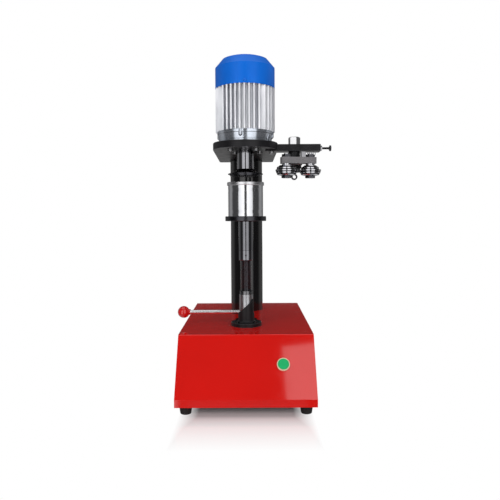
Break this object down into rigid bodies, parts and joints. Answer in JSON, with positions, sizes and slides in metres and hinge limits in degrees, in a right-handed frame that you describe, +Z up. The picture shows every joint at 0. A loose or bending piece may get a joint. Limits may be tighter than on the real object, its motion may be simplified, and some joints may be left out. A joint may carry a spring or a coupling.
{
  "type": "can seamer",
  "caption": "Bench can seamer: red folded base, pillar and head plate with flange motor, seaming chuck, swinging roller arm, can tray and lever lift.",
  "frame": {"origin": "centre of the bounding box's footprint, on the ground under the four feet", "axes": "+Z up along the pillar and the spindle, -Y the operator's side with the start button, +X the roller arm's side"},
  "size_m": [0.3734, 0.545, 0.805],
  "materials": {
    "red_paint": "glossy powder coat",
    "bare_plate": "black primer",
    "foot_rubber": "matte",
    "zinc_screws": "zinc plated",
    "gland_plastic": "moulded",
    "button_ring": "moulded",
    "button_green": "moulded",
    "switch_plastic": "moulded",
    "black_gloss": "polished black",
    "black_plate": "satin black",
    "cast_aluminium": "bright cast",
    "fan_blue": "gloss enamel",
    "fan_plastic": "moulded",
    "stator_steel": "laminated",
    "copper": "enamelled wire",
    "bearing_steel": "ground",
    "machined_steel": "turned",
    "dark_steel": "blackened steel",
    "bright_bolt": "bright",
    "bronze": "bronze",
    "key_steel": "ground",
    "arm_grey": "satin grey",
    "handle_chrome": "polished",
    "knob_red": "polished",
    "tinplate": "tin plate"
  },
  "bodies": {
    "stand": {"base_cover": "red_paint", "bottom_tray": "bare_plate", "mounting_plate": "bare_plate", "plate_columns": "bare_plate", "rubber_feet": "foot_rubber", "base_screws": "zinc_screws", "cable_glands": "gland_plastic", "button_bezel": "button_ring", "button_nut": "switch_plastic", "contact_block": "switch_plastic", "pillar": "black_gloss", "pillar_screws": "zinc_screws", "head_plate": "black_plate", "head_screws": "zinc_screws", "motor_frame": "cast_aluminium", "end_shield": "cast_aluminium", "rear_shield": "cast_aluminium", "stator_core": "stator_steel", "stator_windings": "copper", "motor_bearings": "bearing_steel", "fan_cover": "fan_blue", "motor_cover_screws": "zinc_screws", "terminal_box": "cast_aluminium", "terminal_lid": "cast_aluminium", "support_bar": "black_plate", "stop_lock_nut": "machined_steel", "pivot_bolt": "bright_bolt", "pivot_eye_nut": "dark_steel", "cam_base": "black_plate", "cam_base_screws": "zinc_screws", "guide_bush": "bronze", "guide_key": "key_steel"},
    "start_button": {"button_cap": "button_green"},
    "spindle": {"rotor_shaft": "machined_steel", "rotor_core": "stator_steel", "cooling_fan": "fan_plastic", "spindle_adapter": "black_gloss", "chuck": "dark_steel", "chuck_screw": "machined_steel"},
    "lift": {"lift_shaft": "black_gloss", "tray_bearing": "bearing_steel", "lift_collar": "black_gloss", "threaded_rod": "dark_steel", "lift_lock_nut": "dark_steel"},
    "handle": {"cam_follower": "machined_steel", "handle_rod": "handle_chrome", "ball_knob": "knob_red"},
    "turntable": {"tray": "dark_steel", "can_body": "tinplate", "can_end": "tinplate"},
    "arm": {"roller_arm": "arm_grey", "arm_hub": "black_plate", "pivot_bush": "bronze", "roller_axles": "machined_steel", "roller_nuts": "dark_steel", "roller_bearings": "bearing_steel", "stop_block": "machined_steel"},
    "first_seaming_roller": {"first_roller": "dark_steel"},
    "second_seaming_roller": {"second_roller": "dark_steel"},
    "adjuster": {"adjusting_screw": "dark_steel"}
  },
  "joints": [
    {"name": "handle_swing", "type": "hinge", "parent": "lift", "child": "handle", "pos_m": [-0.01925, -0.0845, 0.1928], "axis": [0, 0, 1], "range_deg": [0, 70]},
    {"name": "lift_slide", "type": "slide", "parent": "stand", "child": "lift", "axis": [0, 0, 1], "range_m": [0, 0.01821]},
    {"name": "tray_spin", "type": "hinge", "parent": "lift", "child": "turntable", "pos_m": [-0.01925, -0.0845, 0.42], "axis": [0, 0, 1], "continuous": true},
    {"name": "spindle_spin", "type": "hinge", "parent": "stand", "child": "spindle", "pos_m": [-0.01925, -0.0845, 0.53], "axis": [0, 0, 1], "continuous": true},
    {"name": "arm_swing", "type": "hinge", "parent": "stand", "child": "arm", "pos_m": [0.09825, -0.0845, 0.555], "axis": [0, 0, 1], "range_deg": [-135, 8]},
    {"name": "first_roller_spin", "type": "hinge", "parent": "arm", "child": "first_seaming_roller", "pos_m": [0.07644, -0.13018, 0.532], "axis": [0, 0, 1], "continuous": true},
    {"name": "second_roller_spin", "type": "hinge", "parent": "arm", "child": "second_seaming_roller", "pos_m": [0.13233, -0.12192, 0.532], "axis": [0, 0, 1], "continuous": true},
    {"name": "start_press", "type": "slide", "parent": "stand", "child": "start_button", "axis": [0, 0.8352, -0.55], "range_m": [0, 0.0025], "stiffness_N_per_m": 400, "springref_m": -0.002},
    {"name": "stop_screw_turn", "type": "hinge", "parent": "stand", "child": "adjuster", "pos_m": [0.15975, -0.0845, 0.588], "axis": [1, 0, 0], "continuous": true}
  ],
  "couplings": [
    {"joint": "lift_slide", "follows": "handle_swing", "m_per_rad": 0.014897}
  ]
}
